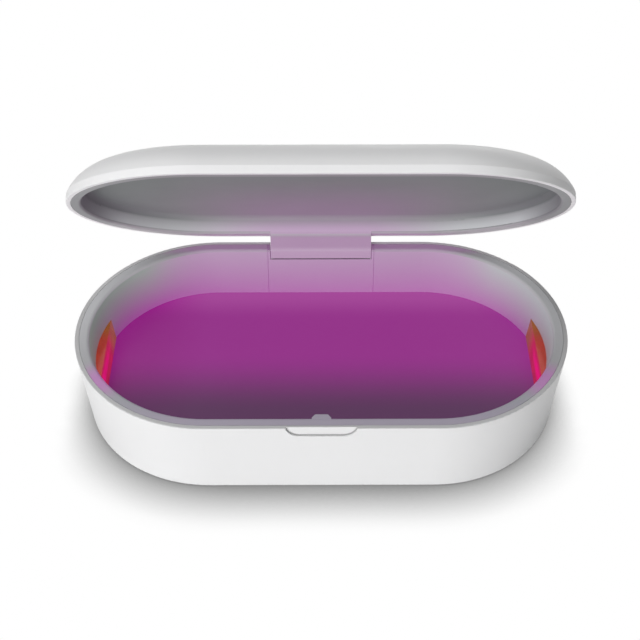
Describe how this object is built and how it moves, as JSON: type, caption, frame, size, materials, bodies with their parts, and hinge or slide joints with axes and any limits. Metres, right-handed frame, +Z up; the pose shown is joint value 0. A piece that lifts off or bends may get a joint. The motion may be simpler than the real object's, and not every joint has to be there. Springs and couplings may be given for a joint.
{
  "type": "uv sanitizer box",
  "caption": "Obround tabletop sanitizer box for a phone, with a hinged lid, ultraviolet tube lamps at both ends, a power button and a charging inlet.",
  "frame": {"origin": "centre of the foot ring on the surface that the box stands on, midway along the base", "axes": "+X along the box's length to its right-hand end, -Y to the front with the thumb scoop, +Z up; the lid is stored open on its stop"},
  "size_m": [0.228, 0.1337, 0.145],
  "materials": {
    "white_plastic": "satin white moulded ABS",
    "grey_plastic": "fine matt grey moulded ABS",
    "foot_rubber": "soft grey",
    "steel": "zinc-plated steel",
    "polished_steel": "ground and polished",
    "board_green": "green solder mask",
    "black_resin": "black moulded package",
    "lamp_amber": "clear amber moulded cover",
    "lamp_metal": "bright anodised sheet",
    "lamp_glass": "clear quartz",
    "holder_white": "white silicone",
    "lead_white": "white PVC sleeve",
    "lead_black": "black PVC sleeve",
    "connector_cream": "natural nylon",
    "clear_plastic": "clear polycarbonate",
    "washer_brown": "phenolic friction disc",
    "magnet_nickel": "nickel-plated"
  },
  "bodies": {
    "base": {"base_shell": "white_plastic", "base_liner": "grey_plastic", "hinge_panel": "grey_plastic", "bottom_cover": "white_plastic", "foot_ring": "foot_rubber", "cover_screws": "steel", "board_screws": "steel", "control_board": "board_green", "board_chips": "black_resin", "lamp_transformer": "connector_cream", "lamp_connectors": "connector_cream", "usb_c_socket": "steel", "tact_switch": "black_resin", "light_pipe": "clear_plastic", "status_led": "holder_white", "hall_sensor": "black_resin", "sensor_lead": "lead_black", "lamp_cover_left": "lamp_amber", "lamp_cover_right": "lamp_amber", "lamp_reflector_left": "lamp_metal", "lamp_reflector_right": "lamp_metal", "uv_tube_left": "lamp_glass", "uv_tube_right": "lamp_glass", "tube_holders_left": "holder_white", "tube_holders_right": "holder_white", "lamp_leads_left": "lead_white", "lamp_leads_right": "lead_white", "hinge_pin": "polished_steel", "friction_washers": "washer_brown"},
    "lid": {"lid_shell": "white_plastic", "lid_liner": "grey_plastic", "lid_magnet": "magnet_nickel"},
    "power_button": {"power_button": "white_plastic", "switch_stem": "black_resin"}
  },
  "joints": [
    {"name": "lid_hinge", "type": "hinge", "parent": "base", "child": "lid", "pos_m": [0, 0.0664, 0.0415], "axis": [1, 0, 0], "range_deg": [0, 50.25]},
    {"name": "power_button_press", "type": "slide", "parent": "base", "child": "power_button", "axis": [0, -1, 0], "range_m": [0, 0.0005], "stiffness_N_per_m": 1500}
  ]
}
